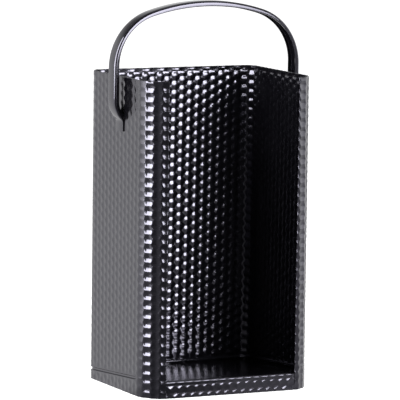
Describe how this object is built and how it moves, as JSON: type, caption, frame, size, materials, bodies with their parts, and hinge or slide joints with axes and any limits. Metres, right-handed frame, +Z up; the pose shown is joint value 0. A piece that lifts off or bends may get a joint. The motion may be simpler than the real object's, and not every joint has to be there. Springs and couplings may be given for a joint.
{
  "type": "briquette carrier",
  "caption": "Tall open-fronted carrier of embossed black sheet steel with rolled front edges, a sloping floor, a low front lip and a fixed arched handle, for coal briquettes.",
  "frame": {"origin": "on the ground, under the middle of the box", "axes": "+Z up along the carrier's height, -Y out of the open front, +X to the right seen from the front"},
  "size_m": [0.2228, 0.16, 0.4215],
  "materials": {
    "embossed_sheet": "gloss black lacquer over embossed sheet steel",
    "smooth_sheet": "gloss black lacquer over smooth sheet steel"
  },
  "bodies": {
    "root": {"shell": "embossed_sheet", "front_lip": "embossed_sheet", "floor_pan": "smooth_sheet", "handle": "smooth_sheet"}
  },
  "joints": []
}
